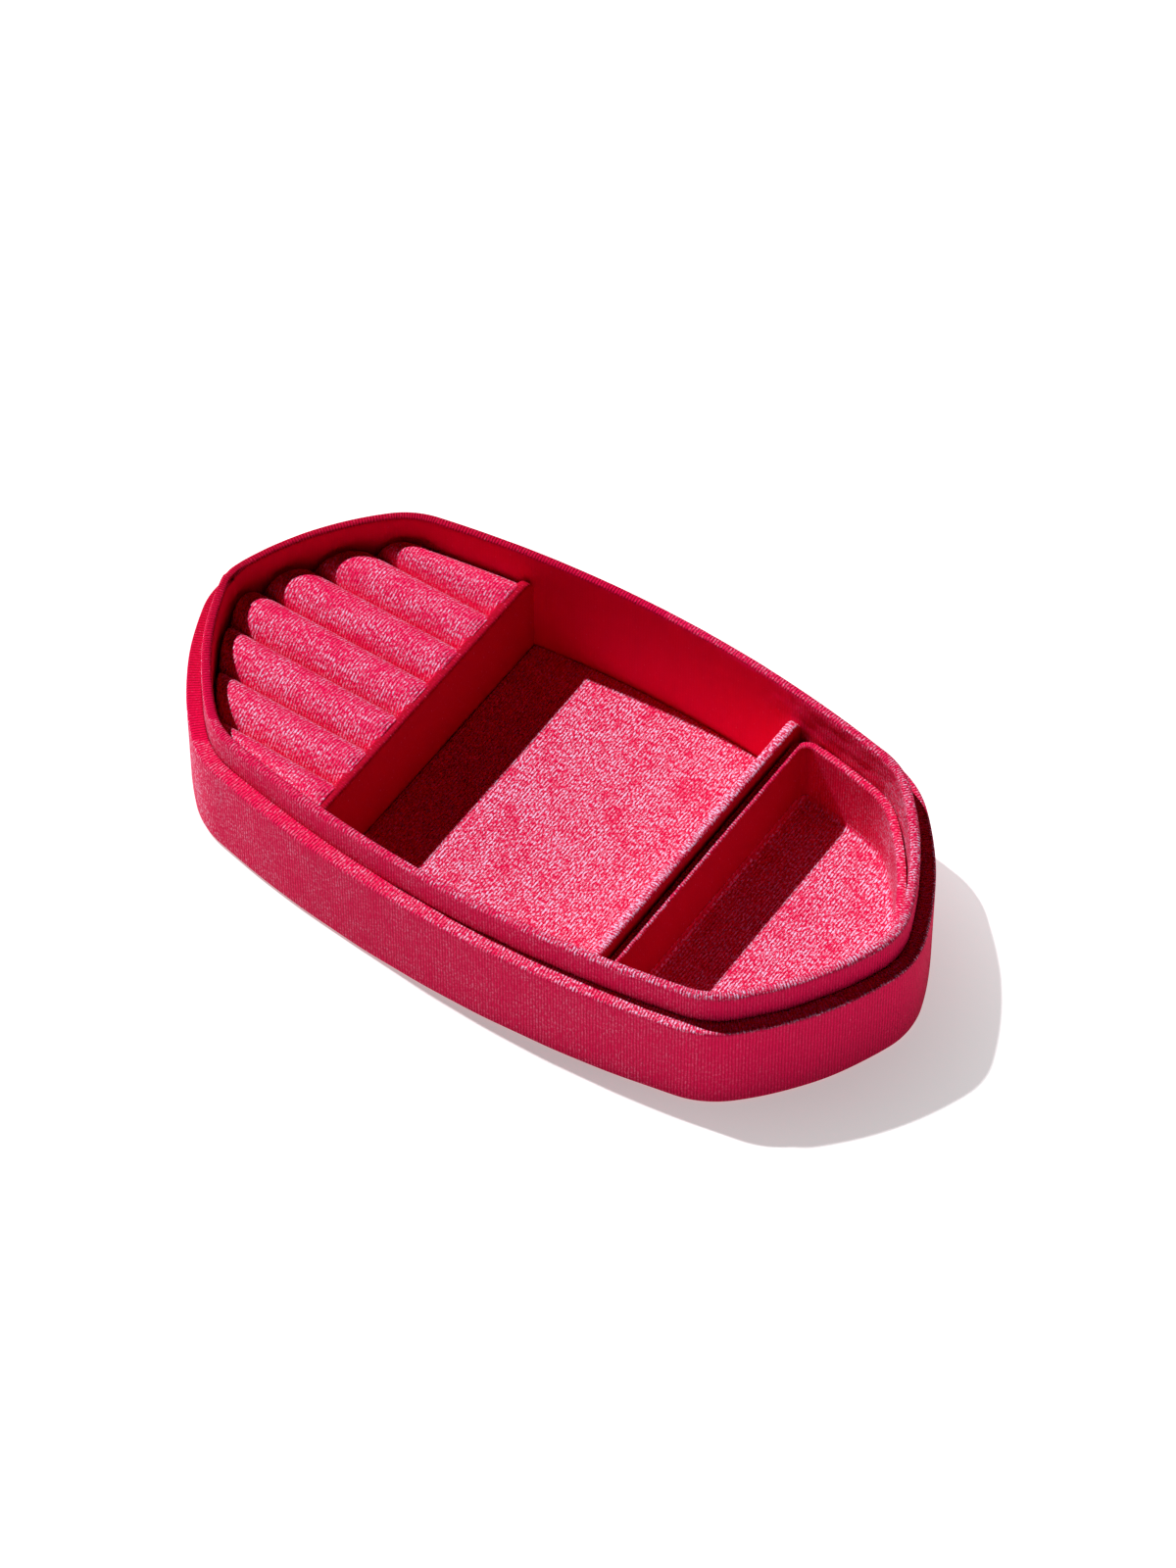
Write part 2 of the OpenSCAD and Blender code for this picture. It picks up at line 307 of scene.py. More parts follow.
def knit_velvet_group():
    """The velvet's pattern, in metres of cloth.
    ridge: wales stand side by side across u, one every Wale, each |sin| of its own width. A slow
    noise makes them wander, and a fine one frays them.
    tip: the peaks of a noise drawn out along the wales. lay: a slow noise, of the size Patch, that
    makes the painted highlight stronger in some patches and weaker in others.
    Shine is the painted light input * lay * (2.9 * tip * ridge^1.5 + 0.02), or a few stray sparks
    where that is less: a painted highlight of the sunlit pile's tips and their glints.
    gap is painted shade between the tips, with a share Rib of it in the grooves between the
    wales. Pits scales it, Calm (0 to 1) smooths it and the relief away, and the painted light
    input below 0 adds more painted shade to it.
    Color goes from crimson to the darker crimson of the painted shade by gap, and on to the pale
    pink of the painted highlight by Shine."""
    tree = bpy.data.node_groups.new("knit_velvet", "ShaderNodeTree")
    for label, kind in [("Cloth", "NodeSocketVector"), ("Painted_light", "NodeSocketFloat"),
                        ("Wale", "NodeSocketFloat"), ("Patch", "NodeSocketFloat"),
                        ("Rib", "NodeSocketFloat"), ("Calm", "NodeSocketFloat"),
                        ("Pits", "NodeSocketFloat")]:
        tree.interface.new_socket(label, in_out="INPUT", socket_type=kind)
    for label, kind in [("Color", "NodeSocketColor"), ("Shine", "NodeSocketFloat"),
                        ("Height", "NodeSocketFloat")]:
        tree.interface.new_socket(label, in_out="OUTPUT", socket_type=kind)
    given = tree.nodes.new("NodeGroupInput").outputs
    result = tree.nodes.new("NodeGroupOutput").inputs

    place = wire(tree, "SeparateXYZ", {0: given["Cloth"]}).outputs
    fray = wire(tree, "TexNoise", {"Vector": given["Cloth"], "Scale": 2400.0, "Detail": 2.0})
    drift = wire(tree, "TexNoise", {"Vector": given["Cloth"], "Scale": 90.0, "Detail": 2.0})
    across = sum_of(tree, "DIVIDE", place[0], given["Wale"])
    wale = sum_of(tree, "MULTIPLY_ADD", drift.outputs[0], 0.4, across)
    wale = sum_of(tree, "MULTIPLY_ADD", fray.outputs[0], 0.35, wale)
    ridge = sum_of(tree, "ABSOLUTE", sum_of(tree, "SINE", sum_of(tree, "MULTIPLY", wale, math.pi)))
    drawn = wire(tree, "CombineXYZ", {
        0: sum_of(tree, "MULTIPLY", across, 1.6),
        1: sum_of(tree, "MULTIPLY", sum_of(tree, "DIVIDE", place[1], given["Wale"]), 0.85)})
    chance = wire(tree, "TexNoise", {"Vector": drawn.outputs[0], "Scale": 1.0, "Detail": 2.0,
                                     "Roughness": 0.7})
    tip = wire(tree, "MapRange", {0: chance.outputs[0], 1: 0.485, 2: 0.60}).outputs[0]

    patch = wire(tree, "TexNoise", {
        "Vector": given["Cloth"], "Scale": sum_of(tree, "DIVIDE", 1.0, given["Patch"]),
        "Detail": 6.0, "Roughness": 0.85, "Distortion": 0.25})
    lay = wire(tree, "MapRange", {0: patch.outputs[0], 1: 0.40, 2: 0.57, 3: 0.15, 4: 1.0}).outputs[0]
    # stand is how strong the painted highlight is here.
    stand = sum_of(tree, "MULTIPLY", given["Painted_light"], lay)
    sharp = sum_of(tree, "MULTIPLY", tip, sum_of(tree, "POWER", ridge, 1.5))
    shine = sum_of(tree, "MULTIPLY", stand, sum_of(tree, "MULTIPLY_ADD", sharp, 2.9, 0.02))
    # The stray sparks are painted glints.
    combed = sum_of(tree, "ABSOLUTE", given["Painted_light"])
    glint = wire(tree, "MapRange", {0: combed, 1: 0.1, 2: 0.4, 3: 0.16, 4: 0.32}).outputs[0]
    spark = wire(tree, "MapRange", {0: chance.outputs[0], 1: 0.64, 2: 0.72, 4: glint}).outputs[0]
    shine = sum_of(tree, "MAXIMUM", shine, sum_of(tree, "MULTIPLY", spark, ridge))
    shine = wire(tree, "Clamp", {0: shine}).outputs[0]
    tree.links.new(shine, result["Shine"])

    rough = sum_of(tree, "MULTIPLY_ADD", given["Calm"], -0.9, 1.0)
    # The gap below is painted shade: between the tips, in the grooves between the wales, and where
    # the painted light input is below 0.
    pit = sum_of(tree, "SUBTRACT", 1.0, sum_of(tree, "MULTIPLY", ridge, tip))
    groove = sum_of(tree, "SUBTRACT", 1.0, ridge)
    gap = sum_of(tree, "MULTIPLY", pit, sum_of(tree, "MULTIPLY_ADD", given["Rib"], -0.6, 0.46))
    gap = sum_of(tree, "MULTIPLY_ADD", groove, given["Rib"], gap)
    gap = sum_of(tree, "MULTIPLY", gap, given["Pits"])
    painted_away_shade = sum_of(tree, "MULTIPLY", sum_of(tree, "MINIMUM", given["Painted_light"], 0.0), 1.1)
    gap = sum_of(tree, "SUBTRACT", sum_of(tree, "MULTIPLY", gap, rough), painted_away_shade)
    gap = wire(tree, "Clamp", {0: gap}).outputs[0]
    body = wire(tree, "Mix", {0: gap, 6: crimson, 7: shade_crimson}, data_type="RGBA")
    # The pale pink mixed in by Shine is a painted highlight of the sunlit fibre tips.
    painted_highlight = sum_of(tree, "MULTIPLY", shine, 0.85)
    tint = wire(tree, "Mix", {0: painted_highlight, 6: body.outputs[2], 7: highlight_pink}, data_type="RGBA")
    tree.links.new(tint.outputs[2], result["Color"])
    height = sum_of(tree, "MULTIPLY_ADD", chance.outputs[0], 1.6, ridge)
    tree.links.new(sum_of(tree, "MULTIPLY", height, rough), result["Height"])
    return tree


knit_velvet = knit_velvet_group()


wale_pitch = 0.91 * mm
patch_size = 9 * mm
pile_depth = 0.24 * mm


def velvet(name, sheen, relief=0.9, rib=0.25, pits=1.0):
    """Crimson knitted velvet. The group gives its colour and relief, and how far the pile's tips
    shine, as a coat. Its colour holds painted light: the piece's own painted light attribute sets a
    painted highlight, and below 0 it adds painted shade. Its calm attribute says how smooth it is."""
    made, tree, surface = coat_of(name, Roughness=0.8, Specular_IOR_Level=0.08, Sheen_Weight=sheen,
                                  Sheen_Roughness=0.3, Sheen_Tint=(1.0, 0.22, 0.32, 1),
                                  Coat_Roughness=0.75, Coat_IOR=1.9)
    cloth = wire(tree, "UVMap", uv_map="cloth").outputs[0]
    painted_light = wire(tree, "Attribute", attribute_name="painted_light").outputs["Fac"]
    calm = wire(tree, "Attribute", attribute_name="calm").outputs["Fac"]
    knit = wire(tree, "Group", node_tree=knit_velvet)
    for label, socket in (("Cloth", cloth), ("Painted_light", painted_light), ("Calm", calm)):
        tree.links.new(socket, knit.inputs[label])
    for label, value in (("Wale", wale_pitch), ("Patch", patch_size), ("Rib", rib), ("Pits", pits)):
        knit.inputs[label].default_value = value
    tree.links.new(knit.outputs["Color"], surface.inputs["Base Color"])
    tree.links.new(knit.outputs["Shine"], surface.inputs["Coat Weight"])
    bump = wire(tree, "Bump", {"Height": knit.outputs["Height"], "Distance": pile_depth,
                               "Strength": relief})
    tree.links.new(bump.outputs[0], surface.inputs["Normal"])
    return made


def places(piece):
    """The points of a piece's mesh."""
    spots = np.empty(len(piece.data.vertices) * 3)
    piece.data.vertices.foreach_get("co", spots)
    return spots.reshape(-1, 3)


lined_to = 35 * mm
lined_fade = 50 * mm
# sunny: the painted highlight on cloth that faces the light at the left.
sunny = 0.7


def paint_light(piece, top, side=0.1, near=0.0, shade=0.0, crease=0.0):
    """Writes the painted light as a point attribute: how strong a painted highlight of the sun the
    cloth takes, and below 0 how much painted shade. It is top where the cloth faces up, which
    may differ from point to point. Where it is upright and faces out, it is side, and sunny is
    added by how squarely it faces the light at the left. Inside, it is 0 as far as lined_to and
    rises towards the right end, most where it faces the light. shade is taken off, as painted
    shade, where the cloth faces right, away from the light. Where the cloth faces up, near is added
    as a painted highlight by the part of the normal that points to the near side, and crease
    where it turns down steeply on the far side.
    The attribute calm is 1 where the pile is smooth, which smooths its painted shade and relief:
    on the lining as far as lined_to, and, if shade is given, where the cloth faces right. It is 0
    elsewhere."""
    mesh = piece.data
    normal = np.empty(len(mesh.vertices) * 3)
    mesh.vertex_normals.foreach_get("vector", normal)
    normal = normal.reshape(-1, 3)
    up = np.clip((normal[:, 2] - 0.25) / 0.6, 0, 1)
    up = up * up * (3 - 2 * up)
    spots = places(piece)
    facing = (normal[:, :2] * spots[:, :2]).sum(1) / (50 * mm)
    toward, away = np.clip(-normal[:, 0], 0, 1), np.clip(normal[:, 0], 0, 1)
    upright = (side - 0.1 * away + sunny * toward ** 1.5) * np.clip(facing, 0, 1) - shade * away
    end = np.clip((spots[:, 0] - lined_to) / lined_fade, 0, 1)
    upright += (0.14 + 0.75 * toward) * end * np.clip(-facing, 0, 1)
    tilted = crease * np.clip((normal[:, 1] - 0.5) / 0.25, 0, 1) - near * normal[:, 1]
    painted_light = upright + (top - upright) * up + tilted * np.clip(normal[:, 2] / 0.3, 0, 1)
    lined = np.clip(-facing, 0, 1) * (1 - end)
    calm = np.maximum(lined, away * (shade > 0)) * (1 - up)
    for label, values in (("painted_light", painted_light), ("calm", calm)):
        layer = mesh.attributes.new(label, "FLOAT", "POINT")
        layer.data.foreach_set("value", values.astype(np.float32))


palest_at = -22
least_painted_light = 0.16


def rim_painted_light(piece):
    """The painted light round a rim: a painted highlight, palest at the near right, and darker at
    the
    far left: 1.5 ((1 + cos a) / 2)^1.3 - 0.48, with a the way round from palest_at degrees. Between
    pale and dark it keeps a small least value, so that the rim is never blank."""
    spots = places(piece)
    round_box = np.arctan2(spots[:, 1] / cover_hi.y, spots[:, 0] / cover_hi.x)
    rim_light_level = 1.5 * ((1 + np.cos(round_box - math.radians(palest_at))) / 2) ** 1.3 - 0.48
    return np.where(np.abs(rim_light_level) < least_painted_light, least_painted_light, rim_light_level)


wall_velvet = velvet("wall_velvet", sheen=0.07, rib=0.5)

outline_step = 0.8 * mm
box_path = box_outline(0, outline_step)
box_way = lengths(box_path[:, :2])


def carried_cover(name, corners, step, depth):
    """A closed skin of velvet with that folded profile, carried round the box's outline and lifted
    off its board by depth(inset, height)."""
    profile = folded(corners, step)
    points = carried(box_path, profile, depth(profile[:, :1], profile[:, 1:]))
    made = skin(name, points, box_way[None, :], lengths(profile)[:, None])
    # The rim takes a painted highlight round the box.
    paint_light(made, rim_painted_light(made))
    made.data.materials.append(wall_velvet)
    return made


ledge_in = cover_hi.x - neck_skin_hi.x
outer_ripple = 0.14 * mm
profile_step = 0.9 * mm
hair = 0.1 * mm
under_z = cover_lo.z
base_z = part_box("wall_board")[0].z
ledge_z = cover_hi.z
base_cover = carried_cover("base_cover_velvet", [
    (ledge_in, ledge_z, 0), (0, ledge_z, ledge_edge_r), (0, under_z, bottom_edge_r),
    (turned_in, under_z, 0), (turned_in, base_z, 0), (velvet_t, base_z, 0),
    (velvet_t, ledge_z - velvet_t, 0), (ledge_in, ledge_z - velvet_t, 0)], profile_step,
    lambda inset, height: np.where((inset < velvet_t * 0.9) | (height > ledge_z - hair),
                                   wander(box_way, outer_ripple, (3, 7, 11, 17, 29), 4), 0))
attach(base_cover, "box")
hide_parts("base_cover")

# ------------------------------------------------------------------------------------------
# Neck cover: a second strip of the velvet, folded over the neck's top and down its inside to
# the base. Its ends lap at the left end of the box, and it wrinkles where it turns the corners.

neck_board_lo, neck_board_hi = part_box("neck_board")
neck_board_t = 2 * mm
neck_out = cover_hi.x - neck_board_hi.x
neck_in = neck_out + neck_board_t
lining_in = neck_in + velvet_t
neck_z = neck_skin_hi.z
base_top = neck_board_lo.z
rim_r = 1.2 * mm
lap_x = -90 * mm
lap_y = np.array([-7.0, -1.2, -0.6, 1.5, 6.7]) * mm
lap_rise = np.array([0, 0.42, 0.08, 0.18, 0]) * mm
neck_ripple = 0.16 * mm
wrinkle_rise = 0.13 * mm
wrinkle_sink = 0.08 * mm


def neck_depth(inset, height):
    """How far the strip stands off its board. At the left end its ends lap in a ramp with a sharp
    edge. Elsewhere it ripples slowly, and inside it has fine slanting wrinkles, sines of the way
    round and the height, that grow towards the right end and the rim."""
    x, y = box_path[:, 0], box_path[:, 1]
    lap = np.where(x < lap_x, np.interp(y, lap_y, lap_rise), 0)
    inside = inset > lining_in - hair
    skinned = inside | (inset < ledge_in + hair) | (height > neck_z - hair)
    turns = box_way[:-1] / box_way[-1] * 2 * math.pi
    slant = height / mm
    fine = np.sin(turns * 41 + slant * 0.5) * np.sin(turns * 17 - slant * 0.21 + 1)
    broad = np.sin(turns * 7 + slant * 1.3 + 2 * np.sin(turns * 9))
    to_right = np.clip((x + 20 * mm) / (120 * mm), 0.12, 1)
    to_rim = np.clip((height - 14 * mm) / (18 * mm), 0.1, 1)
    grown = to_right * to_rim
    wrinkles = wrinkle_rise * grown * (fine + 0.6 * broad) - wrinkle_sink * grown
    lift = np.where(inside, wrinkles, wander(box_way, neck_ripple, (5, 9, 14, 23, 37), 9))
    return np.where(skinned, np.minimum(lift, hair) + lap, 0)


neck_cover = carried_cover("neck_cover_velvet", [
    (ledge_in, ledge_z - velvet_t, 0), (ledge_in, neck_z, rim_r), (lining_in, neck_z, rim_r),
    (lining_in, base_top, 0), (neck_in, base_top, 0), (neck_in, neck_z - velvet_t, 0),
    (neck_out, neck_z - velvet_t, 0), (neck_out, ledge_z - velvet_t, 0)], profile_step, neck_depth)
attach(neck_cover, "box")
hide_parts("neck_cover")

# ------------------------------------------------------------------------------------------
# Dividers: two boards across the box, each wrapped over its top edge in velvet and glued down
# to the base and to the lining at both ends. Their top corners are rounded.

divider_edge_r = 1.25 * mm
divider_corner_r = 3.5 * mm
side_c, side_r = box_arcs[3][0], box_arcs[3][1]


def half_width(x, inset):
    """Half the width of the box's outline at x on the long side's arc, inset inside it."""
    return side_c[1] + np.sqrt((side_r - inset) ** 2 - np.square(x))


def thicken(piece, thickness):
    """Gives an open sheet its thickness on the inside, which closes it all round."""
    solid = piece.modifiers.new("thickness", "SOLIDIFY")
    solid.thickness = thickness
    solid.offset = -1
    solid.use_even_offset = False


def divider_cover(side):
    """A sheet bent over the divider: its section is two uprights and a flat top with rounded edges,
    carried across the box, and it drops by a quarter circle at both ends."""
    lo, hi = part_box(f"divider_{side}_cover")
    middle, half = (lo.x + hi.x) / 2, (hi.x - lo.x) / 2
    rise = np.linspace(0, 1, 30)
    turn = np.radians(np.linspace(0, 90, 9))
    flank = lo.z + (hi.z - divider_edge_r - lo.z) * rise
    edge_x = half - divider_edge_r * (1 - np.cos(turn))
    edge_z = hi.z - divider_edge_r * (1 - np.sin(turn))
    section_x = np.concatenate([np.full(30, half), edge_x[1:], np.linspace(edge_x[-1], 0, 4)[1:]])
    section_z = np.concatenate([flank, edge_z[1:], np.full(3, hi.z)])
    section_x = np.concatenate([-section_x, section_x[-2::-1]])
    section_z = np.concatenate([section_z, section_z[-2::-1]])

    # The run across the box, and how far the top drops along it.
    reach = half_width(middle, lining_in)
    flat = np.linspace(0, reach - divider_corner_r, 66)[:-1]
    along = np.concatenate([flat, reach - divider_corner_r * (1 - np.sin(turn))])
    along = np.concatenate([-along[::-1], along[1:]])
    past = np.clip((np.abs(along) - reach + divider_corner_r) / divider_corner_r, 0, 1)
    drop = divider_corner_r * (1 - np.cos(np.arcsin(past)))
    x = middle + section_x[:, None] + 0 * along
    y = along * half_width(x, lining_in) / reach
    share = (section_z[:, None] - lo.z) / (hi.z - lo.z)
    z = section_z[:, None] - drop * share
    points = np.dstack([x, y, z])
    travel = np.concatenate([[0], np.cumsum(np.hypot(np.diff(section_x), np.diff(section_z)))])
    made = skin(f"divider_{side}_velvet", points, along[None, :], travel[:, None],
                closed=(False, False), bolt=middle)
    paint_light(made, divider_top_light[side], shade=shaded)
    thicken(made, velvet_t)
    made.data.materials.append(divider_velvet)
    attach(made, "box")
    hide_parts(f"divider_{side}_cover")


divider_velvet = velvet("divider_velvet", sheen=0.05, relief=0.4, rib=0.1)
# The right divider's top takes a strong painted highlight, and the left one's is painted darker.
# shaded is the painted shade on faces turned away from the light.
divider_top_light = {"left": -0.5, "right": 2.1}
shaded = 0.65
for side in ("left", "right"):
    divider_cover(side)

# ------------------------------------------------------------------------------------------
# Middle floor: a card wrapped in velvet and pressed down between the two dividers. Its painted
# highlight varies in patches, and its edges are soft.

floor_velvet = velvet("floor_velvet", sheen=0.05)


def corner_of(x, inset, radius):
    """The arc of a pad's corner, which touches the line at x and the long side's arc."""
    toward = 1 if x > 0 else -1
    centre = np.array([x - toward * radius, half_width(x - toward * radius, inset + radius)])
    meets = math.degrees(math.atan2(centre[1] - side_c[1], centre[0] - side_c[0]))
    return centre, radius, meets


def pad(name, path, edge, height, rings=40, bolt=0.0):
    """A flat pad: its rings run from the middle of the underside out to the edge, up the edge's own
    profile of (inset, height) and back over the top to the middle. height(x, y) is added to the
    top, and to the edge in a share that grows from 0 to 1."""
    middle = path[:, :2].mean(0)
    low = path[:, :2] - edge[0, 0] * path[:, 2:]
    top = path[:, :2] - edge[-1, 0] * path[:, 2:]
    grow = np.linspace(0, 1, 4)[:-1, None, None]
    under = np.concatenate([middle + grow * (low - middle)], 0)
    rim = path[None, :, :2] - edge[:, None, :1] * path[None, :, 2:]
    shrink = np.linspace(1, 0, rings)[1:, None, None]
    over = middle + shrink * (top - middle)
    flat = np.concatenate([under, rim, over], 0)
    level = np.concatenate([np.full(len(under), edge[0, 1]), edge[:, 1],
                            np.full(len(over), edge[-1, 1])])[:, None]
    lifted = np.concatenate([np.zeros(len(under)), np.linspace(0, 1, len(edge)), np.ones(len(over))])
    z = level + lifted[:, None] * height(flat[..., 0], flat[..., 1])
    points = np.dstack([flat, z])
    wrapped = np.concatenate([points, points[:, :1]], 1)
    made = skin(name, points, wrapped[..., 0], wrapped[..., 1], closed=(False, True), bolt=bolt)
    closed_up(made)
    # A pad faces up and takes the full painted highlight.
    paint_light(made, 1.0)
    made.data.materials.append(floor_velvet)
    return made


def closed_up(piece):
    """Merges the points that lie on each other at a pole, which closes it."""
    work = bmesh.new()
    work.from_mesh(piece.data)
    bmesh.ops.remove_doubles(work, verts=work.verts, dist=1e-6)
    work.to_mesh(piece.data)
    work.free()


floor_lo, floor_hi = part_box("floor_cover")
floor_in = lining_in + 0.2 * mm
floor_corner_r = 1 * mm
floor_edge_r = 0.7 * mm
floor_step = 1.0 * mm
left_c, left_r, left_meets = corner_of(floor_lo.x, floor_in, floor_corner_r)
right_c, right_r, right_meets = corner_of(floor_hi.x, floor_in, floor_corner_r)
floor_half = [arc(right_c, right_r, 0, right_meets, floor_step),
              arc(side_c, side_r - floor_in, right_meets, left_meets, floor_step),
              arc(left_c, left_r, left_meets, 180, floor_step)]
floor_path = joined(floor_half + [mirrored(run, y=-1) for run in floor_half[::-1]], floor_step)
edge_turn = np.radians(np.linspace(0, 90, 7))
soft_edge = np.stack([floor_edge_r * (1 - np.cos(edge_turn)),
                      floor_hi.z - floor_edge_r * (1 - np.sin(edge_turn))], 1)
floor_pad = pad("floor_velvet", floor_path, np.vstack([[0, floor_lo.z], soft_edge]),
                lambda x, y: 0.08 * mm * np.sin(x * 130 + 1) * np.sin(y * 110))
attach(floor_pad, "box")
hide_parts("floor_cover")

# ------------------------------------------------------------------------------------------
# Ring rolls: seven foam bars, each wrapped in velvet and glued side by side on the insert
# board, so that a ring is held in the valley between two. The insert lifts out.

roll_velvet = velvet("roll_velvet", sheen=0.45, relief=0.7, pits=0.5)
roll_gap = 0.1 * mm
end_soft = 1.6 * mm
lip = 3.5 * mm
lap_over = 1.25 * mm
lap_clear = 0.05 * mm
crest_clear = 0.1 * mm
least_square = 0.35


def foam():
    """Cream upholstery foam with open cells, each tinted darker in its hollow middle as painted
    shade.
    """
    made, tree, surface = coat_of("foam", Roughness=0.95, Specular_IOR_Level=0.1)
    place = wire(tree, "TexCoord").outputs["Object"]
    cells = wire(tree, "TexVoronoi", {"Vector": place, "Scale": 1 / (0.6 * mm)})
    tint = wire(tree, "Mix", {0: cells.outputs[0], 6: (0.45, 0.39, 0.27, 1),
                              7: (0.84, 0.79, 0.66, 1)}, data_type="RGBA")
    tree.links.new(tint.outputs[2], surface.inputs["Base Color"])
    bump = wire(tree, "Bump", {"Height": cells.outputs[0], "Distance": 0.3 * mm, "Strength": 0.8})
    tree.links.new(bump.outputs[0], surface.inputs["Normal"])
    return made


cream_foam = foam()
roll_count = sum(name.startswith("roll_cover_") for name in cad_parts)
divider_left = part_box("divider_left_cover")[0].x
divider_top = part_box("divider_left_cover")[1].z
insert_in = cover_hi.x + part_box("insert_board")[0].x
bay_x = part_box("insert_board")[1].x
end_run = np.vstack([arc(c, r - insert_in, a0, a1, 0.2 * mm) for c, r, a0, a1 in box_arcs[:3]])
side_start = end_run[-1, :2]


def roll_end(y):
    """Where the insert's left edge is at y: x on the outline's end, end face and side corner."""
    return -np.interp(np.abs(y), end_run[:, 1], end_run[:, 0])


def end_slope(y):
    """How square the insert's left edge stands to the rolls at y: 1 is square."""
    return np.interp(np.abs(y), end_run[:, 1], end_run[:, 2])


def roll_surface(number, depth, steps):
    """A sheet over a foam bar, depth inside the roll's own surface, and its cloth's u and v. Across
    it runs an arch: a half circle on two uprights. Along it the arch starts as a point on the
    board, grows over the soft left end and runs to the divider. There its crest slopes down over
    the length lip, laps over the divider's top edge by lap_over, and the arch closes again. The
    outermost rolls give way to the long side's curve."""
    lo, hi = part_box(f"roll_cover_{number}")
    pitch = half_width(bay_x, insert_in) * 2 / roll_count
    middle = (number - (roll_count + 1) / 2) * pitch
    r = (pitch - roll_gap) / 2
    over = np.radians(np.linspace(0, 180, steps))
    rise = np.linspace(lo.z, hi.z - r, steps // 3)[:-1]
    across = np.concatenate([np.ones(len(rise)), np.cos(over), -np.ones(len(rise))])
    above = np.concatenate([rise, hi.z - r + r * np.sin(over), rise[::-1]]) - lo.z

    # The arch's size and its distance from each end, over both ends and the run between them.
    bend = np.radians(np.linspace(0, 90, 8))
    cap = np.array([0, 0.25, 0.5, 0.75, 0.995])
    left_size = np.concatenate([cap * (1 - end_soft / r), 1 - end_soft / r * (1 - np.sin(bend))])
    right_size = np.concatenate([cap, 0 * bend + 1])
    at_end = np.concatenate([0 * cap, 1 - np.cos(bend)])
    run = np.linspace(0, 1, 60)[1:-1]
    no_end, full_end = np.zeros(at_end.size), np.ones(at_end.size)
    no_run, full_run = np.zeros(run.size), np.ones(run.size)
    size = np.concatenate([left_size, full_run, right_size[::-1]]) * (1 - depth / r)
    start = np.concatenate([at_end, full_run, full_end]) * end_soft
    stop = np.concatenate([full_end, full_run, at_end[::-1]]) * lip
    droop = np.concatenate([no_end, no_run, 0.95 * (1 - at_end[::-1]) ** 1.5])
    share = np.concatenate([no_end, run, full_end])

    # Height, and how far to the right each point of the arch reaches.
    z = lo.z + above[:, None] * size
    z = z - np.maximum(z - divider_top - crest_clear, 0) * droop
    lap = np.clip((lo.z + above[:, None] - depth - divider_top + 0.5 * mm) / (0.6 * mm), 0, 1)
    reach = divider_left - lap_clear + lap_over * lap * lap * (3 - 2 * lap) - depth - stop

    # Sideways, and the left edge there, which follows the insert's outline.
    y = middle + across[:, None] * size * r
    off_axis = np.abs(y)
    outermost = abs(middle) > (roll_count - 1.5) / 2 * pitch
    inner = abs(middle) - r
    if outermost:
        room = (side_start[1] - depth - inner) / (2 * r)
        off_axis = inner + (off_axis - inner) * np.minimum(room, 1)
    foot = np.minimum(off_axis, side_start[1])
    left = roll_end(foot) + depth + start / np.maximum(end_slope(foot), least_square)
    x = left + (reach - left) * share
    if outermost:
        limit = half_width(np.maximum(x, -side_start[0]), insert_in + depth)
        room = (limit - inner) / (2 * r)
        y = np.sign(middle) * (inner + (np.abs(y) - inner) * np.minimum(room, 1))

    # The cloth runs along the arch, and lies flat over the two caps.
    travel = np.concatenate([[0], np.cumsum(np.hypot(np.diff(across) * r, np.diff(above)))])
    column = np.arange(size.size)
    capped = (column < cap.size) | (column >= size.size - cap.size)
    return np.dstack([x, y, z]), np.where(capped, y, x), np.where(capped, z, travel[:, None])


even_painted_light = 0.12


def even_end(cover):
    """The painted light is even on the insert's upright end, which faces the divider: one faint
    painted highlight value and no painted shade, within 0.6 mm of the end's plane, from 1 mm under
    the divider's top downwards."""
    layer = cover.data.attributes["painted_light"]
    painted_light = np.empty(len(cover.data.vertices), np.float32)
    layer.data.foreach_get("value", painted_light)
    spots = places(cover)
    on_end = (spots[:, 0] > divider_left - 0.6 * mm) & (spots[:, 2] < divider_top - 1 * mm)
    layer.data.foreach_set("value", np.where(on_end, even_painted_light, painted_light).astype(np.float32))


def ring_roll(number):
    """A roll's velvet, and the foam bar inside it, closed underneath."""
    points, along, across = roll_surface(number, 0, 33)
    cover = skin(f"roll_velvet_{number}", points, along, across, closed=(False, False),
                 bolt=0.137 * number)
    closed_up(cover)
    # The roll takes a painted highlight, paler on its near flank and on a thin line where it turns
    # down on the far side.
    paint_light(cover, 0.46, side=0.36, near=0.3, crease=0.7)
    even_end(cover)
    thicken(cover, velvet_t * 0.9)
    cover.data.materials.append(roll_velvet)
    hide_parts(f"roll_cover_{number}")
    points, along, across = roll_surface(number, velvet_t, 15)
    core = skin(f"roll_foam_{number}", points, along[:1], np.append(across[:, 40], 0)[:, None],
                closed=(True, False))
    closed_up(core)
    core.data.materials.append(cream_foam)
    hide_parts(f"roll_core_{number}")
    for piece in (cover, core):
        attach(piece, "ring_insert")


for number in range(1, roll_count + 1):
    ring_roll(number)

# ------------------------------------------------------------------------------------------
# End tray: a loose tray of card that drops into the right-hand end. Velvet covers its wall
# inside and out over a rounded rim, and its floor is pressed up into the corner.

tray_lo, tray_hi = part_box("tray_cover")
tray_in = cover_hi.x - tray_hi.x
tray_corner_r = 5 * mm
tray_rim_r = 0.9 * mm
tray_wall_t = 1.4 * mm
tray_lining = 2 * velvet_t + tray_wall_t
tray_step = 0.6 * mm
tray_base_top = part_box("tray_floor_board")[1].z


